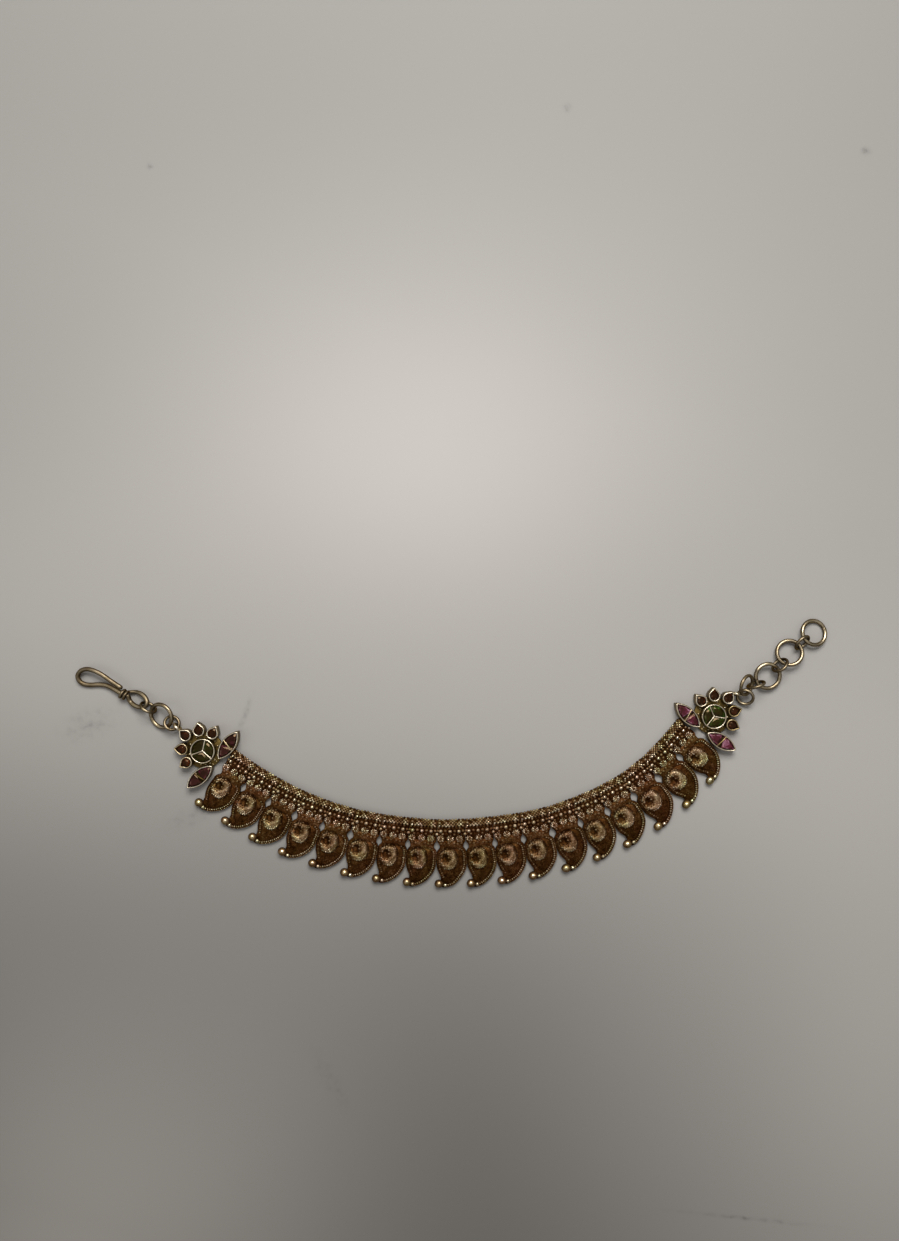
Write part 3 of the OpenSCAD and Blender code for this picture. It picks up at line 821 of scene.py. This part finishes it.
def cut_stone(outline, focus, shade, star):
    """Cut stone: pavilion, girdle, zigzag of crown facets and table; star is a facet's height."""
    p = one_way(outline)
    c = np.asarray(focus, float)
    m = len(p)
    mid = (p + np.roll(p, -1, 0)) / 2
    rings = [(c + 0.62 * (p - c), 1.46), (p, 1.84), (p, 1.92), (c + 0.86 * (mid - c), star),
             (c + 0.58 * (p - c), 2.25)]
    pts = np.vstack([np.column_stack([q, np.full(m, z)]) for q, z in rings])
    faces, tones = [list(range(m))[::-1]], [shade]
    for k in range(m):
        n = (k + 1) % m
        faces += [[k, n, m + n, m + k], [m + k, m + n, 2 * m + n, 2 * m + k]]
        faces += [[2 * m + k, 2 * m + n, 3 * m + k], [3 * m + k, 2 * m + n, 3 * m + n],
                  [3 * m + k, 4 * m + n, 4 * m + k], [3 * m + k, 3 * m + n, 4 * m + n]]
        # painted reflections: the crown facets and the table each get their own random lightness
        tones += [shade, shade] + [shade + rng.uniform(-0.35, 0.45) for _ in range(4)]
    faces.append([4 * m + k for k in range(m)])
    tones.append(shade + rng.uniform(-0.12, 0.12))
    # each facet has its own corners, so that each has its own tone
    out, new, shades = [], [], []
    for f, t in zip(faces, tones):
        new.append(list(range(len(out), len(out) + len(f))))
        out += [pts[i] for i in f]
        shades += [t] * len(f)
    return np.array(out), new, shades


def stones():
    """name, outline, focus, material and slot of each stone of a plate."""
    # three sectors of a circle
    r, gap = 1.95, 0.19
    b = math.asin(gap / r)
    for k in range(3):
        fan = [(gap / math.sin(math.pi / 3), 0)]
        fan += [(r * math.cos(t), r * math.sin(t))
                for t in np.linspace(-math.pi / 3 + b, math.pi / 3 - b, 7)]
        yield (f"green_{k + 1}", shifted(fan, deg=120 * k), shifted([(1.05, 0)], deg=120 * k)[0],
               GREEN, "green_stone")
    # five drops
    r, tip = 0.73, 1.05
    a = math.acos(r / tip)
    for k, (angle, away) in enumerate(PETALS):
        drop = [(tip, 0)] + [(r * math.cos(t), r * math.sin(t))
                             for t in np.linspace(a, 2 * math.pi - a, 11)]
        yield (f"garnet_{k + 1}", on_petal(drop, angle, away),
               on_petal([(0.1, 0)], angle, away)[0], GARNET, "garnet")
    # four halves of the two leaves: two arcs inside the wall, cut off along the slanted bar
    half, width, inside, slant, gap = 3.15, 1.38, 0.35, math.radians(16), 0.2
    r = (half ** 2 + width ** 2) / (2 * width)
    c, q = r - width, r - inside
    tip = math.sqrt(q * q - c * c)
    x0 = gap / math.cos(slant)

    def height(x):
        return math.sqrt(q * q - x * x) - c

    lean = 0.97 * height(x0) * math.tan(slant)
    blade = [(x, height(x)) for x in (x0 + lean, 1.3, 2)] + [(tip, 0)]
    blade += [(x, -height(x)) for x in (2, 1.3, 0.7, x0 - lean)]
    for n, (side, deg) in enumerate(((1, 0), (1, 180), (-1, 0), (-1, 180))):
        yield (f"purple_{n + 1}", on_leaf(shifted(blade, deg=deg), side),
               on_leaf(shifted([(1.15, 0)], deg=deg), side)[0], PURPLE, "purple_stone")


for side, at, heading, bail, light_green, light_purple, bars, lips in PLATES:
    rot = turn(0, 0, heading)
    plate_points, plate_tones, plate_faces = plate(bail, bars, lips)
    piece(side + "_flower_plate", place(plate_points, at, rot), plate_faces, BEZEL,
          [side + "_plate"], "antique_gold", tone=plate_tones)
    # painted light of the stones and the height of their crown facets
    cuts = {"green_stone": (light_green, 2.12), "garnet": (0.02, 2.12),
            "purple_stone": (light_purple, 2.17)}
    for name, outline, focus, material, slot in stones():
        light, star = cuts[slot]
        shade = 0.3 + light + rng.uniform(-0.1, 0.1)
        pts, faces, shades = cut_stone(outline, focus, shade, star)
        piece(f"{side}_{name}_stone", place(pts, at, rot), faces, material, [f"{side}_{name}"],
              slot, smooth=False, facet=shades)

# Rings, links and hook

# x, y, z, heading, lean, roll, mean radius, wire
RINGS = {
    "large_ring_a": (66.52, 22.07, 0.9, 41.1, -13.3, -0.8, 2.25, 0.7),
    "large_ring_b": (61.94, 18.41, 1.23, 43.2, -2.7, -10.7, 2.25, 0.7),
    "large_ring_c": (57.92, 14.12, 1.25, 30.2, 0.1, 6.2, 2.25, 0.7),
    "middle_ring_d": (53.67, 12.52, 2.44, 44, -22.1, 37.7, 1.8, 0.6),
    "large_ring_e": (-53.45, 6.82, 1.45, -34.3, 7.8, 24, 2.25, 0.7),
    "small_joint_ab": (64.17, 20.27, 1.44, 28.6, -11.3, 51.6, 1.45, 0.54),
    "small_joint_bc": (60.04, 16.14, 1.64, 46.1, -4.7, 111.3, 1.45, 0.54),
    "small_joint_cd": (55.59, 12.58, 1.78, 20, -2.5, 97.7, 1.5, 0.54),
    "small_joint_d_plate": (53.72, 10.27, 1.38, -15, 16.6, 26.6, 1.4, 0.54),
    "small_joint_e_plate": (-51.57, 5.49, 1.21, 261.3, 33.4, -20.1, 1.3, 0.54),
    "small_joint_e_hook": (-55.78, 8.4, 1.62, -31, -5.1, 108.4, 1.4, 0.54)}
# tone of the rings, and of the joining links
RING_TONES = {"large_ring_a": 0.78, "large_ring_b": 0.68, "large_ring_c": 0.78,
              "middle_ring_d": 0.46, "large_ring_e": 0.6}
JOINT_TONE = 0.52


def wire_ring(row, seam):
    """Ring bent from wire, with the fine seam where its ends meet."""
    *at, heading, lean, roll, r, wire = row
    g = Parts()
    t = np.linspace(0, 2 * math.pi, 108, endpoint=False)
    away = np.abs((t - math.radians(seam) + math.pi) % (2 * math.pi) - math.pi)
    thick = wire / 2 * (1.03 - 0.18 * np.exp(-(away / 0.035) ** 2))
    g.tube(np.column_stack([r * np.cos(t), r * np.sin(t), 0 * t]), thick, seg=20, closed=True)
    pts, _, faces = g.data()
    pts = pts + wavy(pts, int(abs(at[0]) * 10), 0.008)
    return place(pts, at, turn(roll, -lean, heading)), faces


for name, row in RINGS.items():
    pts, faces = wire_ring(row, rng.uniform(0, 360))
    tone = np.full(len(pts), RING_TONES.get(name, JOINT_TONE))
    piece(name, pts, faces, WIRE, [name.split("_", 1)[1]], "bright_gold", tone=tone)

HOOK_LEG = [
    (-60.9, 12.1, 1.6), (-61.8, 12.68, 1.62), (-63, 13.5, 1.64), (-64.3, 14.42, 1.66),
    (-65.7, 15.1, 1.62), (-67.08, 15.41, 1.45), (-68.31, 15.07, 1.15), (-69.04, 14.11, 0.8),
    (-68.73, 13.12, 0.56), (-67.9, 12.59, 0.46), (-66.71, 12.44, 0.44), (-65.41, 12.52, 0.46),
    (-64.1, 12.4, 0.52), (-62.94, 12, 0.66), (-61.85, 11.42, 0.86)]
SHANK = (np.array([-60.96, 10.95, 1.05]), np.array([-59.7, 10.45, 1.06]))
# middle, roll, lean and heading, and half axes of the eye
EYE_AT, EYE_TURN, EYE_HALF = np.array([-57.92, 9.79, 0.96]), (-3, -14.3, -27.3), (2.05, 1.2)
HOOK_WIRE, COLLAR_WIRE = 0.84, 0.56


def hook_path():
    """Points and radii of the hook's wire: the long leg, the eye and the collar it is wound to."""
    axis = (SHANK[1] - SHANK[0]) / np.linalg.norm(SHANK[1] - SHANK[0])
    n1 = np.cross(axis, [0, 0, 1.0])
    n1 /= np.linalg.norm(n1)
    n2 = np.cross(n1, axis)
    wound = []
    for k in range(13):
        a = math.radians(200 - 52 * k)
        out = ((HOOK_WIRE + COLLAR_WIRE) / 2 + 0.03) * (math.cos(a) * n1 + math.sin(a) * n2)
        wound.append(SHANK[1] - axis * (0.2 + 0.1 * k) + out)
    roll, lean, head = (math.radians(v) for v in (EYE_TURN[0], -EYE_TURN[1], EYE_TURN[2]))
    e = np.array([math.cos(head) * math.cos(lean), math.sin(head) * math.cos(lean),
                  math.sin(lean)])
    s = np.array([-math.sin(head), math.cos(head), 0])
    u = np.cross(e, s)
    eye = []
    for k in range(9):
        a = math.radians(-125 + 31.25 * k)
        eye.append(EYE_AT + EYE_HALF[0] * math.cos(a) * e
                   + EYE_HALF[1] * math.sin(a) * (math.cos(roll) * s + math.sin(roll) * u))
    leg = catmull([np.array(q) for q in HOOK_LEG] + list(SHANK), 5, closed=False)
    loop = catmull([SHANK[1]] + eye + [wound[0]], 5, closed=False)
    collar = catmull(wound, 4, closed=False)
    # the last quarter of the loop is drawn thinner, to the wire of the collar
    drawn = np.clip(4 * np.arange(1, len(loop) - 1) / (len(loop) - 1) - 3, 0, 1)
    thick = np.concatenate([np.full(len(leg), HOOK_WIRE),
                            HOOK_WIRE + (COLLAR_WIRE - HOOK_WIRE) * drawn,
                            np.full(len(collar), COLLAR_WIRE)])
    return np.vstack([leg, loop[1:-1], collar]), thick / 2


hook = Parts()
hook.tube(*hook_path(), seg=18)
hook_points, _, hook_faces = hook.data()
# the hook is darker towards its free end
dull = np.interp(hook_points[:, 0], (-67.5, -64.5, -59.5, -57.5), (0.3, 0.36, 0.42, 0.46))
piece("ear_hook", place(hook_points), hook_faces, WIRE, ["hook"], "bright_gold", tone=dull)

# the wire through the ridges keeps its CAD solid
wire_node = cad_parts["band_wire"]
if not wire_node.material_slots:
    wire_node.data.materials.append(GOLD)
for holder in wire_node.material_slots:
    holder.material = GOLD

# Table and light

# soft patches of light and shade on the table: middle, half widths in millimetres, amount
PATCHES = (((-9.6, 48.6), (46, 35), 0.45), ((0, 128), (166, 48), -0.15),
           ((3, -70), (23, 48), -0.13), ((-67, -94), (42, 40), 0.87),
           ((88, -83), (44, 70), 0.65), ((-84, 21), (44, 33), 0.31),
           ((68, -1), (55, 41), 0.15), ((-6, -1), (78, 22), 0.23))
# small smudges and specks: middle, half widths, turn and depth
MARKS = (((-67.3, 5.2), (4.2, 2.2), 20, 0.16), ((-38.4, 6.8), (0.5, 3.0), -20, 0.2),
         ((-47.6, -11.5), (4.2, 1.4), 25, 0.14), ((21.4, 119.3), (0.6, 0.6), 0, 0.45),
         ((76.5, 111.2), (0.7, 0.6), 0, 0.5), ((-55.9, 108.6), (0.5, 0.5), 0, 0.35),
         ((55.0, -86.2), (10.0, 0.35), -6, 0.2), ((-22.5, -60.6), (1.2, 5.0), 30, 0.08))
EVEN_LIGHT = 0.905
TABLE_HALF = 1.6


def table_top():
    """Pale, warm grey laminate with painted soft light and shade, smudges and specks."""
    s = Shader("pale_table")
    where = s.new("ShaderNodeSeparateXYZ", Vector=s.coords)
    x, y = (s.math("MULTIPLY", where.outputs[k], 1000.0) for k in (0, 1))

    def spot(middle, half, deg=0.0, wobble=None):
        """1 in the middle of a soft oval, falling to 0 outside it."""
        c, t = math.cos(math.radians(deg)), math.sin(math.radians(deg))
        dx, dy = s.math("SUBTRACT", x, middle[0]), s.math("SUBTRACT", y, middle[1])
        u = s.math("MULTIPLY_ADD", dx, c / half[0], s.math("MULTIPLY", dy, t / half[0]))
        v = s.math("MULTIPLY_ADD", dy, c / half[1], s.math("MULTIPLY", dx, -t / half[1]))
        far = s.math("ADD", s.math("MULTIPLY", u, u), s.math("MULTIPLY", v, v))
        if wobble:
            far = s.math("ADD", far, wobble)
        return s.math("EXPONENT", s.math("MULTIPLY", far, -1.0))

    cloud = s.span(s.noise(9, 3), 0.3, 0.7, -0.03, 0.03)
    # painted shade: the table darkens towards the bottom and a little to the left
    down = s.span(s.math("MULTIPLY_ADD", x, 0.35, y), -110.0, 75.0)
    shade = s.math("ADD", s.math("SMOOTH_MIN", down, 1.0, 0.25), cloud)
    colour = s.ramp(shade, [(0.0, (0.200, 0.190, 0.178)), (1.0, (0.445, 0.433, 0.415))])
    light = EVEN_LIGHT
    for middle, half, amount in PATCHES:
        light = s.math("MULTIPLY_ADD", spot(middle, half), amount, light)
    ragged = s.span(s.noise(700, 3), 0.35, 0.65, -0.5, 1.4)
    for middle, half, deg, depth in MARKS:
        dark = s.math("MULTIPLY_ADD", spot(middle, half, deg, ragged), -depth, 1.0)
        light = s.math("MULTIPLY", light, dark)
    grey = s.new("ShaderNodeCombineColor", Red=light, Green=light, Blue=light)
    colour = s.mix(1.0, colour, grey.outputs[0], "MULTIPLY")
    s.bump(s.noise(1800, 3), 0.08, 0.00003)
    return s.set(Base_Color=colour, Roughness=0.55, Specular_IOR_Level=0.25)


table_mesh = bpy.data.meshes.new("table_top")
corners = [(TABLE_HALF * x, TABLE_HALF * y, 0) for x, y in ((-1, -1), (1, -1), (1, 1), (-1, 1))]
table_mesh.from_pydata(corners, [], [(0, 1, 2, 3)])
table_mesh.materials.append(table_top())
floor = bpy.data.objects.new("table_top", table_mesh)
scene.collection.objects.link(floor)


def area_light(name, at, aim, size_x, size_y, watts, colour):
    """Rectangular lamp at a place, turned to its aim."""
    data = bpy.data.lights.new(name, "AREA")
    data.shape = "RECTANGLE"
    data.size, data.size_y = size_x, size_y
    data.energy = watts
    data.color = colour
    obj = bpy.data.objects.new(name, data)
    obj.location = at
    obj.rotation_euler = (Vector(aim) - Vector(at)).to_track_quat("-Z", "Y").to_euler()
    scene.collection.objects.link(obj)


area_light("window", (0.015, 0.20, 0.27), (0.0, 0.03, 0), 0.20, 0.15, 0.95, (1.0, 0.975, 0.94))
area_light("fill", (-0.30, -0.05, 0.30), (0.0, 0.0, 0), 0.15, 0.25, 0.14, (0.95, 0.97, 1.0))

# the room: brightness from straight down to straight up, slightly warm
ROOM = ((0.0, 0.02), (0.5, 0.04), (0.68, 0.24), (0.84, 0.34), (0.95, 0.20), (1.0, 0.12))
world = bpy.data.worlds.new("room")
scene.world = world
world.use_nodes = True
tree = world.node_tree
background = tree.nodes["Background"]
coords = tree.nodes.new("ShaderNodeTexCoord")
split = tree.nodes.new("ShaderNodeSeparateXYZ")
tree.links.new(coords.outputs["Generated"], split.inputs[0])
sky = tree.nodes.new("ShaderNodeValToRGB")
set_stops(sky, [(at, (level, level * 0.97, level * 0.93)) for at, level in ROOM])
tree.links.new(split.outputs[2], sky.inputs[0])
tree.links.new(sky.outputs[0], background.inputs["Color"])
background.inputs["Strength"].default_value = 1.35
